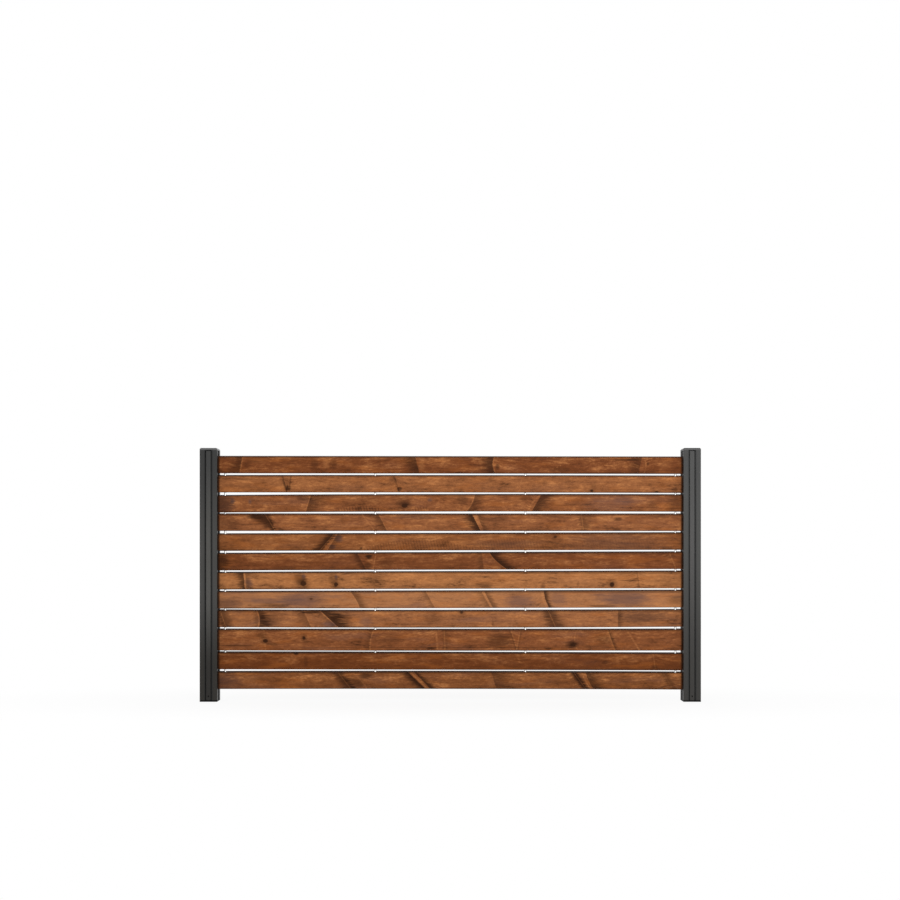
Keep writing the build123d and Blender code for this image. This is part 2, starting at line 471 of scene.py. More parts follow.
def cross_outline():
    """The twelve corners of a cross recess."""
    arm = [(RECESS_WIDTH, RECESS_WIDTH), (RECESS_WIDTH, RECESS_REACH),
           (-RECESS_WIDTH, RECESS_REACH)]
    corners = []
    for quarter in range(4):
        turned = Matrix.Rotation(quarter * math.pi / 2, 2)
        corners += [turned @ Vector(corner) for corner in arm]
    return corners


def add_screw(mesh, place):
    """A screw with its head face at the origin of place, pointing along +Z."""
    turned = turn_profile(mesh, screw_profile(), place)
    mesh.faces.new(turned[0])
    add_recess(mesh, place, turned[-1])


def add_recess(mesh, place, rim):
    """Fill the head inside the rim, with a cross-shaped pocket in the middle."""
    outline = cross_outline()
    mouth = [mesh.verts.new(place @ Vector((p.x, p.y, 0.0))) for p in outline]
    floor = [mesh.verts.new(place @ Vector((p.x * RECESS_TAPER, p.y * RECESS_TAPER,
                                            RECESS_DEPTH))) for p in outline]
    edges = [mesh.edges.get((a, b)) or mesh.edges.new((a, b))
             for ring in (rim, mouth) for a, b in zip(ring, ring[1:] + ring[:1])]
    bmesh.ops.triangle_fill(mesh, use_beauty=True, edges=edges)
    inside = [face for face in mesh.faces if all(v in mouth for v in face.verts)]
    bmesh.ops.delete(mesh, geom=inside, context="FACES_ONLY")
    for number in range(len(mouth)):
        after = (number + 1) % len(mouth)
        mesh.faces.new((mouth[number], mouth[after], floor[after], floor[number]))
    mesh.faces.new(floor)


print("rings in a screw:", len(screw_profile()), "corners of its recess:", len(cross_outline()))

# %% [markdown]
# A screw is drawn once, along Z, and then aimed: front and back screws point into the post along
# Y, the outer one and the one in the stop block along X. Their places come from the box of the
# ready-made screws, so they always sit in their holes.

# %% Place the screws
def aim(spot, inward):
    """A screw's place: its head face at a spot, pointing along a direction."""
    turn = Vector(inward).to_track_quat("Z", "Y").to_matrix().to_4x4()
    return Matrix.Translation(spot) @ turn


screw_steel = turned_steel("blackened_screw_steel", paint(26, 25, 24), 0.5)
for side in ("left", "right"):
    low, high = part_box(f"screws_{side}")
    foot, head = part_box(f"post_{side}")
    middle = (foot + head) / 2
    height = (low.z + high.z) / 2
    mesh = bmesh.new()
    add_screw(mesh, aim((middle.x, low.y, height), (0, 1, 0)))
    add_screw(mesh, aim((middle.x, high.y, height), (0, -1, 0)))
    add_screw(mesh, aim((low.x, middle.y, height), (1, 0, 0)))
    add_screw(mesh, aim((high.x, middle.y, height), (-1, 0, 0)))
    bmesh.ops.recalc_face_normals(mesh, faces=mesh.faces)
    finish_piece(f"screw_set_{side}", mesh, screw_steel, f"screws_{side}")
print("screws placed", round(height * 1000, 1), "mm above the ground")

# %% [markdown]
# ## The grain of a board
#
# This is the finish that makes the panel. The slats are planed spruce under a brown glaze.
# There are three layers: growth rings cut along the log, which make long wavering lines; fibre
# streaks, from broad to hair fine; and the glaze, which soaks in unevenly and leaves soft
# clouds and a short mottle. The rings come from the distance to a wandering pith line beside
# the board, so they run on round the edges and over the top as real rings do.

# %% Grain
DARK_BROWN = paint(46, 23, 9)
PALE_BROWN = paint(200, 132, 78)
WARM_BROWN = paint(166, 94, 38)
GREY_BROWN = paint(112, 80, 68)
RING_SPACING = 6.5
PITH_DEPTH = 46.0


def fibres(x, y, z):
    """Light and dark streaks along the board, in three widths."""
    broad = swing(x * 0.007, y * 0.07, z * 0.085, 3.0, 0.6)
    fine = swing(x * 0.024, y * 0.3, z * 0.34, 3.0, 0.65)
    hair = swing(x * 0.09, y * 1.6, z * 1.7, 2.0, 0.6)
    return broad, fine, hair


def late_wood(x, y, z):
    """The dark part of each growth ring."""
    wander = swing(x * 0.0022, 3.0, 0.0)
    ripple = swing(x * 0.02, y * 0.05, z * 0.05)
    reach = length(y + PITH_DEPTH + wander * 18.0, z + wander * 38.0)
    turns = (reach + ripple * 1.3) * (2 * math.pi / RING_SPACING)
    return step(turns.math("SINE", turns), 0.1, 1.0)


def soaking(x, y, z):
    """Uneven soaking of the glaze: clouds a hand long, and a mottle of short flecks."""
    cloud = swing(x * 0.011, y * 0.025, z * 0.03, 4.0, 0.65)
    mottle = swing(x * 0.06, y * 0.12, z * 0.15, 4.0, 0.85)
    return cloud, mottle


print("growth rings", RING_SPACING, "mm apart, pith", PITH_DEPTH, "mm in front of the slats")

# %% [markdown]
# ## Marks of the tree and the plane
#
# From a few steps away, what shows most are the places where a branch grew: small dark knots,
# and slanting bands where the grain dips, dark on one or both sides of a thin pale line. Their
# dark sides fray out along the fibres. These marks are put one by one, as a maker would mark up
# a board. A `Board` collects them while the fibres are pushed aside round each one.
#
# All places are in millimetres from the middle of the slat's front face, `at` to the right and
# `up` upwards. `lean` is how far the top of a band stands to the right of its foot.

# %% A board and its marks
TICK_PITCH = 11.1


class Board:
    """One slat's surface, on which marks are collected before it is painted."""

    def __init__(self, x, z, half, fray):
        self.x = x
        self.z = z
        self.half = half
        self.fray = fray
        self.lift = None
        self.dark = []
        self.pale = []
        self.grey = []
        self.ticked = []

    def offset(self, at, lean, curve=0.0):
        """Distance to the right of a leaning, perhaps curved, centre line."""
        away = self.x + self.fray * 1.2 - at
        if lean or curve:
            rise = self.z / self.half
            away = away - rise * (rise * curve + lean / 2)
        return away

    def push(self, amount):
        """Lift the fibres, to bend them round a mark."""
        self.lift = amount if self.lift is None else self.lift + amount

    def band(self, at, lean=0.0, left=0.0, right=0.0, dark=0.6, pale=0.0, curve=0.0, widen=0.0):
        """A slanting band: dark to the left and right of a line that may be pale."""
        offset = self.offset(at, lean, curve)
        spread = 1.0 + self.z * (widen / self.half)
        frayed = offset + self.fray * 0.26 * max(left, right)
        for side, width in ((-1.0, left), (1.0, right)):
            if width:
                out = frayed * side / spread
                fade = step(out, 0.15 * width, width, dark, 0.0)
                self.dark.append(fade * step(offset * side, -0.6, 1.6))
        if pale:
            broken = step(self.fray, -0.5, 0.6, 0.15, 1.0)
            self.pale.append(hump(offset, pale * 0.85) * broken)
        self.push(hump(offset, 45.0) * (7.0 if lean >= 0 else -7.0))

    def patch(self, at, up, wide, tall, dark=0.0, pale=0.0, grey=0.0, lean=0.0):
        """A soft patch that frays along the fibres: darker, paler or greyer."""
        across = self.offset(at - lean * up / (2 * self.half), lean) / wide
        away = length(across, (self.z - up) / tall) + self.fray * 0.3
        for collected, amount in ((self.dark, dark), (self.pale, pale), (self.grey, grey)):
            if amount:
                collected.append(step(away, 0.25, 1.0, amount, 0.0))

    def knot(self, at, up, wide, tall, dark=1.0):
        """A knot: a black heart in a soft dark ring, with the fibres bent round it."""
        across = self.offset(at, 0.0)
        over = self.z - up
        away = length(across / wide, over / tall) + self.fray * 0.15
        self.dark.append(step(away, 0.4, 1.1, dark, 0.0))
        self.dark.append(step(away, 0.9, 2.8, 0.4 * dark, 0.0))
        self.push(hump(across, 30.0) * over * hump(over, 28.0) * -0.6)

    def ticks(self, start, end, low, high, depth=1.0):
        """Cross marks that a blunt planer leaves: 11 mm apart, within an arched area."""
        middle, reach = (start + end) / 2, (end - start) / 2
        along = (self.x - middle) / reach
        arch = 1.0 - along * along
        ceiling = arch * (high - low) + low
        below = step(self.z - ceiling, -5.0, 1.0, 1.0, 0.0) * step(self.z, low - 4.0, low + 2.0)
        phase = (self.x + self.z * 0.25 + self.fray * 1.5) * (2 * math.pi / TICK_PITCH)
        self.ticked.append(step(phase.math("SINE", phase), 0.0, 0.9, 0.0, depth) * below)

# %% [markdown]
# The painter mixes one slat from its stain tone and its marks. What darkens goes towards deep
# brown, what pales towards a lighter brown, and some boards have a grey haze, where the glaze
# turned a little milky. Painted shade comes last: the sloping top face, in the shade of the slat
# above, is painted darkest of all, and the upper edge, the downward faces, the lower edge and the
# ends beside the posts are painted darker too.

# %% Painted shade on one slat
CLEAR_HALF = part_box("post_right")[0].x * 1000
TOP_SHADE = 0.85
UNDER_SHADE = 0.7
EDGE_SHADE = 0.5
FOOT_SHADE = 0.6
END_SHADE = 0.9


def total(parts):
    """Sum of the wires in a list that holds at least one."""
    result = parts[0]
    for part in parts[1:]:
        result = result + part
    return result


def upward(wire):
    """How far the surface faces up, from -1 to 1."""
    tree = wire.tree
    split = tree.nodes.new("ShaderNodeSeparateXYZ")
    facing = wire.node("ShaderNodeNewGeometry", out="Normal")
    tree.links.new(facing.socket, split.inputs[0])
    return Wire(tree, split.outputs["Z"])


def painted_slat_shade(colour, board, y):
    """Painted shade: darken the top face, the downward faces, the upper edge, the lower edge and
    the ends by the posts.
    """
    facing = upward(y)
    lowered = step(facing, 0.2, 0.7, 0.0, TOP_SHADE)
    under = step(0.0 - facing, 0.15, 0.7, 0.0, UNDER_SHADE)
    edge = step(board.z, board.half - 6.0, board.half + 0.5, 0.0, EDGE_SHADE)
    foot = step(board.z, -board.half, -board.half + 7.5, FOOT_SHADE, 0.0)
    ends = step(abs(board.x), CLEAR_HALF - 9.0, CLEAR_HALF - 1.5, 0.0, END_SHADE)
    for shadow in (edge, under, foot, ends):
        lowered = lowered.math("MAXIMUM", lowered, shadow)
    return mix_colour(lowered, colour, DARK_BROWN)


print("slats show from", round(-CLEAR_HALF, 1), "to", round(CLEAR_HALF, 1), "mm")

# %% [markdown]
# Now the whole recipe. Fibres, rings, clouds and mottle are added up into one lightness, with
# painted light that makes each face lighter towards its top; it leads the stain tone towards pale
# or deep brown; then come warmth, haze, pale marks, dark marks and plane ticks, and the painted
# shade last. The same fibres and ticks give the surface its relief.

# %% Paint one slat
SLAT_SLOPE = 15.0
TICK_SHADE = 0.42
GRAIN_DEPTH = 0.0002


def stained_slat(number, tone, marks, haze, contrast):
    """The finish of one slat: its stain tone, and the marks of its board."""
    low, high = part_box(f"slat_{number:02d}")
    rise = (high.y - low.y) * math.tan(math.radians(SLAT_SLOPE))
    half = (high.z - low.z - rise) * 500.0
    seed = 137.0 * number
    material, shader, (x, y, height) = start_material(f"stained_slat_{number:02d}", 0.05)
    z = height - (low.z * 1000.0 + half)
    board = Board(x, z, half, swing(x * 0.02 + seed, y * 0.08, z * 0.22, 3.0, 0.6))
    for make_mark, values in marks:
        make_mark(board, **values)

    bent = z + board.lift
    broad, fine, hair = fibres(x + seed * 9.0, y, bent)
    late = late_wood(x + seed * 9.0, y, bent)
    cloud, mottle = soaking(x + seed * 9.0, y, bent)
    light = broad * 0.28 + fine * 0.22 + hair * 0.16 + cloud * 0.6 + mottle * 0.5
    # z * (0.2 / half) is painted light: each face is lighter towards its top.
    light = (light - late * 0.16 + 0.06) * contrast + z * (0.2 / half)
    colour = mix_colour(step(light, -0.1, 1.3), tone, PALE_BROWN)
    colour = mix_colour(step(light, -1.4, 0.1, 1.0, 0.0), colour, DARK_BROWN)
    warmth = swing(x * 0.009 - seed, y * 0.03, z * 0.045, 2.0)
    colour = mix_colour(step(warmth, 0.0, 1.1, 0.0, 0.35), colour, WARM_BROWN)
    milky = step(swing(x * 0.005 + seed, y * 0.03, bent * 0.03, 3.0), 0.0, 1.2, 0.0, haze)
    if board.grey:
        milky = milky + total(board.grey)
    colour = mix_colour(milky, colour, GREY_BROWN)
    if board.pale:
        colour = mix_colour(total(board.pale) * (0.45 + fine * 0.15), colour, PALE_BROWN)
    if board.dark:
        shadow = total(board.dark)
        colour = mix_colour(shadow.math("MINIMUM", shadow, 0.94), colour, DARK_BROWN)
    relief = fine * 0.2 + hair * 0.3 - late * 0.5
    if board.ticked:
        ticked = total(board.ticked)
        colour = mix_colour(ticked * TICK_SHADE, colour, DARK_BROWN)
        relief = relief - ticked
    # Painted shade on the sloping top face, the edges, the downward faces and the ends by the
    # posts.
    colour = painted_slat_shade(colour, board, y)
    gloss = 0.5 + hair * 0.06 + late * 0.08
    connect(shader, colour, gloss, relief, GRAIN_DEPTH)
    return material

# %% [markdown]
# Now the twelve boards, from the top down. Tones and places come from looking along each slat
# of the real panel and noting what the eye stops at. Four short words write a mark down, to be
# made when its board is painted.

# %% Words for marks
def band(**values):
    """A note of a slanting band."""
    return Board.band, values


def patch(**values):
    """A note of a soft patch."""
    return Board.patch, values


def knot(**values):
    """A note of a knot."""
    return Board.knot, values


def ticks(**values):
    """A note of an area of plane marks."""
    return Board.ticks, values

# %% The twelve boards
boards = {
    1: (paint(118, 65, 33), [
        band(at=-817, lean=12, left=62, dark=0.6, pale=7, widen=-0.3),
        patch(at=-790, up=0, wide=20, tall=30, dark=0.25),
        patch(at=-742, up=16, wide=50, tall=16, pale=0.2),
        patch(at=-530, up=4, wide=24, tall=30, dark=0.35),
        patch(at=-486, up=6, wide=20, tall=26, pale=0.45),
        patch(at=-455, up=4, wide=22, tall=30, dark=0.35),
        band(at=-128, lean=-16, left=62, dark=0.7, widen=0.2),
        patch(at=-112, up=2, wide=18, tall=34, pale=0.5),
        band(at=166, lean=-6, left=70, dark=0.75, pale=7, curve=8),
        patch(at=184, up=-6, wide=12, tall=20, dark=0.6),
        patch(at=176, up=20, wide=14, tall=6, pale=0.5),
        patch(at=430, up=-16, wide=60, tall=14, dark=0.4),
        patch(at=417, up=-8, wide=4, tall=4, pale=0.8),
        patch(at=430, up=0, wide=4, tall=4, pale=0.8),
        patch(at=690, up=22, wide=70, tall=7, dark=0.6),
        band(at=742, lean=14, left=60, dark=0.5),
        band(at=764, lean=0, pale=5, curve=-9),
        patch(at=772, up=6, wide=7, tall=10, dark=0.5),
        patch(at=840, up=2, wide=40, tall=20, pale=0.25),
    ]),
    2: (paint(146, 90, 52), [
        band(at=-643, lean=-18, left=13, dark=0.55),
        band(at=-629, lean=6, right=11, dark=0.45),
        patch(at=-636, up=-14, wide=9, tall=18, dark=0.7),
        patch(at=-638, up=4, wide=34, tall=34, dark=0.25),
        patch(at=-800, up=21, wide=80, tall=6, dark=0.35),
        band(at=-206, lean=-18, left=12, dark=0.42),
        patch(at=-198, up=-16, wide=13, tall=15, dark=0.75),
        patch(at=-222, up=20, wide=26, tall=12, dark=0.4),
        patch(at=158, up=20, wide=16, tall=12, dark=0.3),
        patch(at=368, up=6, wide=18, tall=14, dark=0.25),
        knot(at=552, up=-24, wide=8, tall=6, dark=0.7),
        patch(at=560, up=-6, wide=16, tall=16, dark=0.25),
        patch(at=780, up=0, wide=12, tall=12, dark=0.3),
        knot(at=806, up=-29, wide=10, tall=5, dark=0.8),
    ]),
    3: (paint(135, 80, 45), [
        patch(at=-886, up=0, wide=60, tall=60, dark=0.6, grey=0.4),
        patch(at=-330, up=10, wide=110, tall=30, dark=0.2),
        patch(at=-850, up=10, wide=13, tall=16, grey=0.7, dark=0.15),
        patch(at=-782, up=8, wide=9, tall=12, grey=0.6, dark=0.15),
        patch(at=-572, up=22, wide=44, tall=18, dark=0.55),
        band(at=-555, lean=20, right=84, dark=0.6, pale=6, widen=0.4),
        patch(at=-184, up=10, wide=50, tall=26, dark=0.4),
        knot(at=-178, up=-8, wide=14, tall=9, dark=0.85),
        patch(at=-194, up=-22, wide=10, tall=7, pale=0.4),
        patch(at=-80, up=16, wide=13, tall=12, grey=0.6, dark=0.2),
        patch(at=48, up=16, wide=34, tall=26, dark=0.5),
        band(at=84, lean=34, right=52, dark=0.6, pale=7, curve=-6),
        patch(at=292, up=22, wide=44, tall=12, dark=0.45),
        band(at=318, lean=44, pale=8, curve=8),
        band(at=334, lean=36, right=78, dark=0.75, widen=0.1),
        patch(at=424, up=6, wide=26, tall=22, pale=0.35),
        patch(at=482, up=-22, wide=12, tall=12, pale=0.4),
        patch(at=620, up=0, wide=130, tall=50, grey=0.35),
        patch(at=790, up=-4, wide=32, tall=24, dark=0.3),
        patch(at=880, up=0, wide=50, tall=60, dark=0.4),
        ticks(start=-470, end=-240, low=-29, high=-6, depth=0.9),
        ticks(start=-165, end=-60, low=-29, high=-8, depth=0.7),
    ]),
    4: (paint(139, 84, 49), [
        band(at=-702, lean=-38, left=66, right=18, dark=0.85, pale=4, widen=0.75),
        patch(at=-764, up=24, wide=40, tall=12, dark=0.5),
        patch(at=-660, up=-28, wide=22, tall=6, dark=0.6),
        patch(at=-610, up=6, wide=50, tall=20, pale=0.3),
        patch(at=-860, up=0, wide=60, tall=50, dark=0.35),
        patch(at=-40, up=4, wide=70, tall=26, pale=0.2),
        band(at=-318, lean=-50, pale=6),
        band(at=-262, lean=-34, left=46, dark=0.6, pale=5, widen=0.3),
        patch(at=-120, up=24, wide=130, tall=13, dark=0.35, grey=0.3),
        band(at=104, lean=-34, left=56, dark=0.9, pale=4),
        band(at=118, lean=-26, right=36, dark=0.5),
        patch(at=88, up=16, wide=8, tall=14, dark=0.5),
        patch(at=180, up=14, wide=70, tall=20, dark=0.35),
        patch(at=400, up=24, wide=110, tall=10, dark=0.3),
        band(at=516, lean=-8, left=18, right=52, dark=0.5, pale=5, widen=0.4),
        patch(at=590, up=12, wide=26, tall=22, pale=0.5),
        patch(at=655, up=16, wide=24, tall=12, dark=0.6),
        patch(at=650, up=-26, wide=24, tall=7, dark=0.5),
        patch(at=740, up=-10, wide=80, tall=14, pale=0.25),
        patch(at=820, up=24, wide=60, tall=10, dark=0.35),
    ]),
    5: (paint(134, 80, 43), [
        band(at=-482, lean=56, left=48, right=12, dark=0.9, pale=4),
        band(at=-462, lean=40, right=40, dark=0.45, pale=3),
        patch(at=-436, up=16, wide=24, tall=20, grey=0.7, dark=0.2),
        patch(at=-462, up=-16, wide=20, tall=12, grey=0.6, dark=0.3),
        knot(at=-348, up=-22, wide=5, tall=4, dark=0.6),
        patch(at=-260, up=18, wide=120, tall=14, pale=0.2),
        patch(at=40, up=6, wide=46, tall=22, pale=0.25),
        patch(at=220, up=-4, wide=190, tall=26, dark=0.2, grey=0.25),
        patch(at=640, up=0, wide=280, tall=60, dark=0.2, grey=0.25),
        knot(at=410, up=22, wide=9, tall=6, dark=0.6),
        ticks(start=-360, end=110, low=-29, high=14, depth=0.6),
        ticks(start=60, end=420, low=-29, high=20, depth=0.4),
        ticks(start=380, end=900, low=-29, high=24, depth=0.22),
    ]),
    6: (paint(118, 66, 34), [
        patch(at=-896, up=0, wide=44, tall=60, dark=0.75),
        patch(at=-720, up=8, wide=90, tall=12, pale=0.25),
        patch(at=-640, up=-24, wide=80, tall=10, dark=0.4),
        patch(at=-318, up=20, wide=19, tall=13, dark=1.0),
        patch(at=-314, up=5, wide=16, tall=6, pale=0.7),
        band(at=-345, lean=-34, left=34, dark=0.6),
        patch(at=-324, up=-16, wide=24, tall=18, dark=0.6),
        band(at=-296, lean=12, pale=3),
        patch(at=-250, up=-4, wide=44, tall=30, dark=0.35),
        band(at=182, lean=-70, right=60, dark=0.9, pale=6, curve=8),
        band(at=128, lean=-10, left=34, dark=0.4),
        patch(at=180, up=-24, wide=24, tall=10, pale=0.5),
        patch(at=860, up=22, wide=40, tall=10, dark=0.4),
        band(at=870, lean=-26, pale=5),
    ]),
    7: (paint(165, 107, 63), [
        band(at=-804, lean=-6, left=38, dark=0.8, pale=5, widen=0.3),
        band(at=-798, lean=-6, right=34, dark=0.45),
        patch(at=-786, up=-6, wide=22, tall=30, grey=0.6),
        patch(at=-586, up=8, wide=34, tall=34, dark=0.4),
        patch(at=-572, up=18, wide=12, tall=16, grey=0.8),
        knot(at=-573, up=-10, wide=13, tall=12),
        patch(at=-456, up=10, wide=26, tall=30, dark=0.35),
        patch(at=-446, up=16, wide=8, tall=14, grey=0.8),
        knot(at=-446, up=-14, wide=9, tall=10, dark=0.9),
        patch(at=-296, up=0, wide=50, tall=40, dark=0.25),
        patch(at=130, up=-16, wide=50, tall=20, dark=0.45),
        patch(at=362, up=-20, wide=14, tall=16, dark=0.4),
        patch(at=498, up=-12, wide=8, tall=14, dark=0.3),
        knot(at=631, up=-14, wide=10, tall=11, dark=0.9),
        patch(at=700, up=2, wide=60, tall=5, dark=0.5),
        band(at=738, lean=-10, left=10, dark=0.3, pale=5),
        patch(at=-60, up=-22, wide=220, tall=7, dark=0.25),
        patch(at=860, up=-14, wide=50, tall=22, dark=0.25),
    ]),
    8: (paint(168, 112, 72), [
        patch(at=-870, up=-12, wide=70, tall=30, dark=0.3, grey=0.4),
        patch(at=-690, up=-20, wide=80, tall=12, dark=0.45, lean=-60),
        patch(at=-590, up=0, wide=130, tall=44, grey=0.75),
        knot(at=-543, up=6, wide=8, tall=6, dark=0.5),
        band(at=-367, lean=-36, right=44, dark=0.55, pale=5, curve=-4),
        band(at=-76, lean=-36, left=26, dark=0.4),
        band(at=142, lean=-36, left=38, dark=0.4, pale=6),
        band(at=150, lean=-34, right=30, dark=0.55),
        patch(at=270, up=-4, wide=80, tall=40, grey=0.7),
        band(at=372, lean=-22, right=26, dark=0.85, curve=4),
        band(at=362, lean=-22, left=16, dark=0.1, pale=14, curve=4),
        patch(at=420, up=4, wide=50, tall=40, grey=0.5),
        patch(at=590, up=-22, wide=70, tall=8, dark=0.5),
        patch(at=680, up=6, wide=150, tall=44, grey=0.75),
        patch(at=880, up=0, wide=50, tall=30, dark=0.35),
    ]),
    9: (paint(151, 96, 59), [
        band(at=-886, lean=-22, left=30, right=44, dark=0.6, pale=5),
        band(at=-748, lean=-4, left=26, dark=0.35, curve=-6),
        band(at=-744, lean=-4, right=58, dark=0.75, widen=-0.3, curve=-6),
        band(at=-556, lean=-30, left=52, dark=0.4, pale=5),
        patch(at=-542, up=28, wide=50, tall=8, dark=0.8),
        patch(at=-530, up=24, wide=24, tall=4, pale=0.6),
        patch(at=-470, up=-18, wide=40, tall=18, grey=0.8),
        band(at=-470, lean=-70, right=92, dark=0.85),
        band(at=-474, lean=-70, left=34, dark=0.4),
        patch(at=-330, up=-10, wide=34, tall=30, grey=0.5),
        patch(at=-700, up=0, wide=60, tall=40, dark=0.3),
        patch(at=-420, up=10, wide=60, tall=30, dark=0.4),
        patch(at=-70, up=0, wide=60, tall=40, dark=0.25),
        knot(at=44, up=28, wide=8, tall=8, dark=0.6),
        patch(at=166, up=-14, wide=6, tall=22, dark=0.35),
        band(at=398, lean=-28, left=42, right=54, dark=0.7, pale=5),
        patch(at=-20, up=-26, wide=160, tall=8, pale=0.2),
        band(at=654, lean=0, right=26, dark=0.45),
        patch(at=750, up=10, wide=150, tall=30, dark=0.4, grey=0.3),
        patch(at=760, up=-14, wide=40, tall=10, pale=0.3),
    ]),
    10: (paint(131, 77, 43), [
        patch(at=-738, up=22, wide=30, tall=16, dark=0.5),
        band(at=-724, lean=-6, pale=4),
        knot(at=-722, up=0, wide=11, tall=8),
        patch(at=-690, up=-12, wide=30, tall=10, dark=0.5),
        patch(at=-830, up=-18, wide=110, tall=5, dark=0.55),
        knot(at=-571, up=12, wide=7, tall=8),
        patch(at=-556, up=-2, wide=24, tall=5, dark=0.35),
        band(at=-312, lean=12, left=30, dark=0.3, pale=6, curve=5),
        patch(at=-260, up=10, wide=90, tall=30, dark=0.25),
        band(at=-52, lean=-6, pale=7),
        band(at=-22, lean=-4, left=14, right=30, dark=0.35, pale=7),
        patch(at=-76, up=-28, wide=30, tall=7, dark=0.7),
        patch(at=195, up=0, wide=75, tall=44, dark=0.55),
        band(at=250, lean=-26, left=12, dark=0.3, pale=5),
        band(at=266, lean=14, right=12, dark=0.3, pale=5),
        patch(at=474, up=-14, wide=38, tall=18, dark=0.6),
        band(at=486, lean=-8, pale=4, curve=10),
        knot(at=482, up=-14, wide=9, tall=8, dark=0.9),
        patch(at=382, up=-30, wide=20, tall=6, dark=0.7),
        patch(at=600, up=6, wide=50, tall=36, dark=0.4),
        band(at=630, lean=-28, right=18, dark=0.5, pale=6),
        band(at=716, lean=-50, pale=8),
        patch(at=0, up=-26, wide=900, tall=2.5, dark=0.45),
    ]),
    11: (paint(107, 57, 25), [
        patch(at=-602, up=32, wide=15, tall=8, dark=1.0),
        patch(at=-540, up=20, wide=40, tall=8, pale=0.3),
        patch(at=-564, up=0, wide=12, tall=34, dark=0.35),
        patch(at=-318, up=18, wide=40, tall=5, pale=0.5),
        patch(at=110, up=22, wide=60, tall=5, pale=0.2),
        patch(at=530, up=22, wide=30, tall=6, pale=0.35),
        patch(at=605, up=-2, wide=20, tall=12, dark=0.45),
        patch(at=798, up=-20, wide=24, tall=12, dark=0.5),
        band(at=796, lean=-10, pale=3),
    ]),
    12: (paint(126, 75, 40), [
        patch(at=-890, up=0, wide=90, tall=60, dark=0.35, grey=0.4),
        patch(at=-780, up=0, wide=44, tall=26, pale=0.25),
        band(at=-412, lean=-50, left=44, right=30, dark=0.75, pale=3),
        patch(at=-372, up=-4, wide=44, tall=34, dark=0.5, lean=-40),
        band(at=-346, lean=-56, pale=4, curve=-7),
        patch(at=-330, up=20, wide=34, tall=16, dark=0.65),
        band(at=-128, lean=-66, left=50, dark=0.95),
        band(at=-120, lean=-66, pale=8),
        band(at=-108, lean=-62, right=34, dark=0.85),
        band(at=170, lean=-20, right=110, dark=0.5),
        patch(at=160, up=-8, wide=20, tall=24, pale=0.3),
        band(at=506, lean=-46, left=24, right=22, dark=0.95),
        band(at=528, lean=-34, pale=5, curve=4),
        band(at=540, lean=-30, right=70, dark=0.7, curve=4),
        band(at=850, lean=-36, left=18, right=30, dark=0.5),
    ]),
}
FAINT_HAZE = 0.15
hazes = {3: 0.35, 8: 0.7, 9: 0.4, 10: 0.35, 12: 0.3}
contrasts = {2: 1.15, 3: 1.15, 4: 1.15, 6: 0.85, 7: 1.3, 9: 1.15, 11: 0.7}
stains = {}
for number, (tone, marks) in boards.items():
    haze = hazes.get(number, FAINT_HAZE)
    stains[number] = stained_slat(number, tone, marks, haze, contrasts.get(number, 1.0))
print("slats stained:", len(boards), "marks:", sum(len(marks) for _, marks in boards.values()))

# %% [markdown]
# ## Slats that are not quite straight
#
# Sawn wood moves. Each slat has bowed or tipped by a few millimetres, which is why the light
# lines between them taper. The ready-made slats are dead straight, so each is replaced by a copy
# that is cut across at even stations and then bent, by its lift in millimetres at the left end,
# the middle and the right end.

# %% Bow the slats
STATIONS = 24
SLAT_SMOOTH_ANGLE = 30
bows = {
    1: (1.0, -0.3, -1.8), 2: (1.4, 1.2, -0.8), 3: (-1.8, 2.2, 1.3), 4: (1.8, 1.2, 1.4),
    5: (-1.1, 0.9, 3.4), 6: (-2.2, 1.0, 3.6), 7: (-1.3, 1.6, 3.8), 8: (-0.5, 1.5, 4.2),
    9: (2.4, 0.5, 4.0), 10: (2.6, 1.6, 2.4), 11: (2.0, 0.2, -2.4), 12: (0.3, 0.9, -2.0),
}


def bow_slat(number, material):
    """Replace a slat by a slightly bent copy."""
    node = f"slat_{number:02d}"
    low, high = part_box(node)
    left, middle, right = (lift / 1000 for lift in bows[number])
    mesh = bmesh.new()
    mesh.from_mesh(nodes[node].data)
    for station in range(1, STATIONS):
        x = low.x + (high.x - low.x) * station / STATIONS
        parts = mesh.verts[:] + mesh.edges[:] + mesh.faces[:]
        bmesh.ops.bisect_plane(mesh, geom=parts, plane_co=(x, 0, 0), plane_no=(1, 0, 0))
    for vertex in mesh.verts:
        t = vertex.co.x / high.x
        vertex.co.z += middle + (right - left) / 2 * t + ((left + right) / 2 - middle) * t * t
    return finish_piece(f"bowed_slat_{number:02d}", mesh, material, node, SLAT_SMOOTH_ANGLE)


for number, stain in stains.items():
    slat = bow_slat(number, stain)
print("faces in one bowed slat:", len(slat.data.polygons))

# %% [markdown]
# ## A white studio
#
# The panel stands on a plain white floor in a white room. The floor is a matt white plane that
# takes a faint shadow of the panel, and goes over into pure white further out, so that no
# horizon shows. The world is white to the camera and to reflections, and dimmer as a light, so
# that one large lamp can still shape the edges.

# %% Floor and world
FLOOR_SIZE = 24.0
ROOM_LIGHT = 0.62
SHADOW_SHARE = 0.1
FLOOR_WHITE = (0.97, 0.97, 0.97, 1.0)


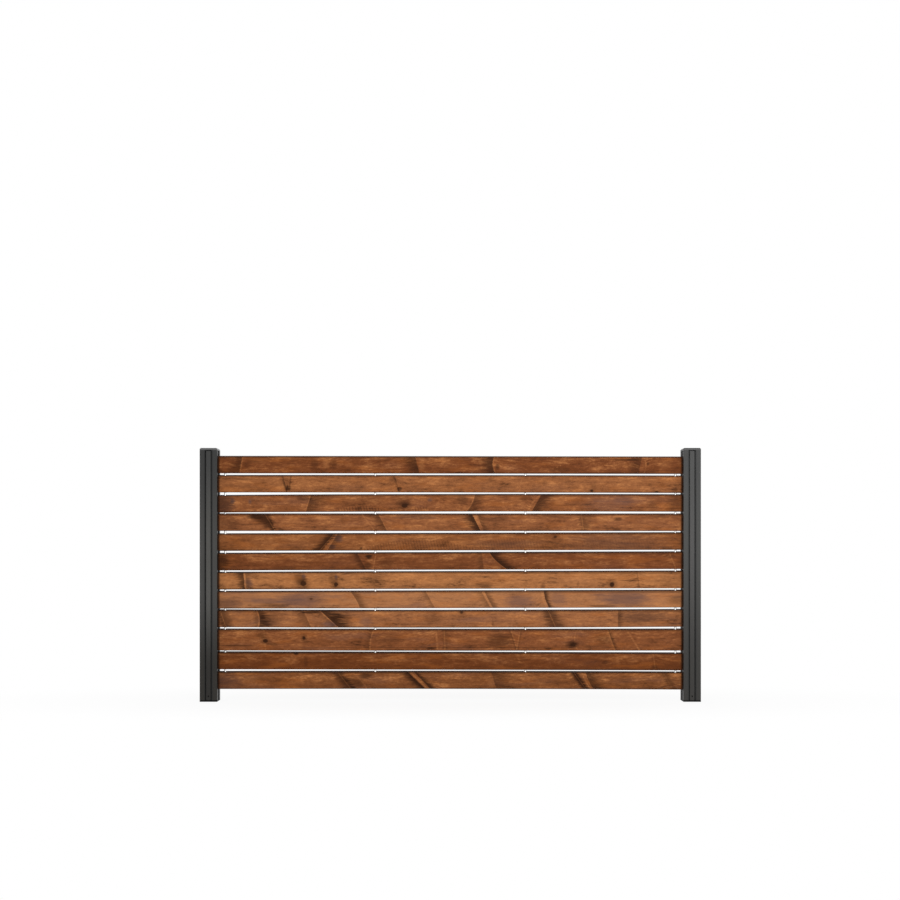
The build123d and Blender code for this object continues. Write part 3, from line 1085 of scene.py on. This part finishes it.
def white_floor():
    """Matt white that keeps a faint shadow near the panel, plain white further out."""
    material, shader, (x, y, z) = start_material("white_floor", 0.0)
    tree = shader.id_data
    shader.inputs["Base Color"].default_value = FLOOR_WHITE
    shader.inputs["Roughness"].default_value = 1.0
    glow = x.node("ShaderNodeEmission", None, {"Color": (1, 1, 1, 1), "Strength": 1.0})
    seen = x.node("ShaderNodeLightPath", out="Is Camera Ray")
    shiny = x.node("ShaderNodeLightPath", out="Is Glossy Ray")
    away = length(x * 0.3, y)
    plain = step(away, 150.0, 700.0, 1.0 - SHADOW_SHARE, 1.0)
    share = seen.math("MAXIMUM", seen, shiny) * plain
    lit = Wire(tree, shader.outputs[0])
    both = x.node("ShaderNodeMixShader", None, {0: share, 1: lit, 2: glow})
    tree.links.new(both.socket, tree.nodes["Material Output"].inputs["Surface"])
    return material


mesh = bmesh.new()
bmesh.ops.create_grid(mesh, x_segments=2, y_segments=2, size=FLOOR_SIZE / 2)
floor_mesh = bpy.data.meshes.new("floor")
mesh.to_mesh(floor_mesh)
mesh.free()
floor_mesh.materials.append(white_floor())
floor = bpy.data.objects.new("floor", floor_mesh)
bpy.context.scene.collection.objects.link(floor)

world = bpy.data.worlds.new("white_room")
world.use_nodes = True
bpy.context.scene.world = world
sky = world.node_tree
start = Wire(sky)
seen = start.node("ShaderNodeLightPath", out="Is Camera Ray")
shiny = start.node("ShaderNodeLightPath", out="Is Glossy Ray")
clear = start.node("ShaderNodeLightPath", out="Is Transmission Ray")
direct = seen.math("MAXIMUM", seen, shiny)
direct = direct.math("MAXIMUM", direct, clear)
strength = step(direct, 0.0, 1.0, ROOM_LIGHT, 1.0)
sky.links.new(strength.socket, sky.nodes["Background"].inputs["Strength"])
sky.nodes["Background"].inputs["Color"].default_value = (1, 1, 1, 1)
print("floor", FLOOR_SIZE, "m wide, room light", ROOM_LIGHT)

# %% [markdown]
# One broad lamp in front of the panel, a little to the right and not much higher than the
# camera, is enough. It lights the front faces, leaves the sloping tops of the slats darker,
# and leaves the inner sides of the posts in reflected light.

# %% Key lamp
KEY_SIZE = 2.6
KEY_POWER = 86.0
KEY_PLACE = Vector((1.1, -4.4, 1.7))
KEY_TARGET = Vector((0.0, 0.0, 0.45))
lamp = bpy.data.lights.new("key_lamp", "AREA")
lamp.shape = "DISK"
lamp.size = KEY_SIZE
lamp.energy = KEY_POWER
key = bpy.data.objects.new("key_lamp", lamp)
key.location = KEY_PLACE
key.rotation_euler = (KEY_TARGET - KEY_PLACE).to_track_quat("-Z", "Y").to_euler()
bpy.context.scene.collection.objects.link(key)
print("key lamp", round((KEY_TARGET - KEY_PLACE).length, 2), "m away")

# %% [markdown]
# ## Camera
#
# The panel is seen straight on, from five metres, with upright lines upright. It sits low in
# the square frame, and the way to get that without tilting the camera is lens shift, as on an
# architect's view camera. The scale of the picture gives the focal length.

# %% Camera
IMAGE_SIZE = 900
SENSOR = 36.0
CAMERA_DISTANCE = 5.0
METRES_PER_PIXEL = 0.003885
PANEL_FOOT_ROW = 701.85
PANEL_MIDDLE_COLUMN = 450.3
HORIZON_ROW = 550.0

front = solid_box[0][1]
focal_pixels = CAMERA_DISTANCE / METRES_PER_PIXEL
camera_data = bpy.data.cameras.new("camera")
camera_data.sensor_width = SENSOR
camera_data.lens = focal_pixels * SENSOR / IMAGE_SIZE
camera_data.shift_y = (HORIZON_ROW - IMAGE_SIZE / 2) / IMAGE_SIZE
camera = bpy.data.objects.new("camera", camera_data)
camera.location = (
    (IMAGE_SIZE / 2 - PANEL_MIDDLE_COLUMN) * METRES_PER_PIXEL,
    front - CAMERA_DISTANCE,
    (PANEL_FOOT_ROW - HORIZON_ROW) * METRES_PER_PIXEL,
)
camera.rotation_euler = (math.pi / 2, 0, 0)
bpy.context.scene.collection.objects.link(camera)
bpy.context.scene.camera = camera
bpy.context.scene.view_settings.view_transform = "Standard"
print("lens", round(camera_data.lens, 2), "mm, eye height", round(camera.location.z, 3), "m")
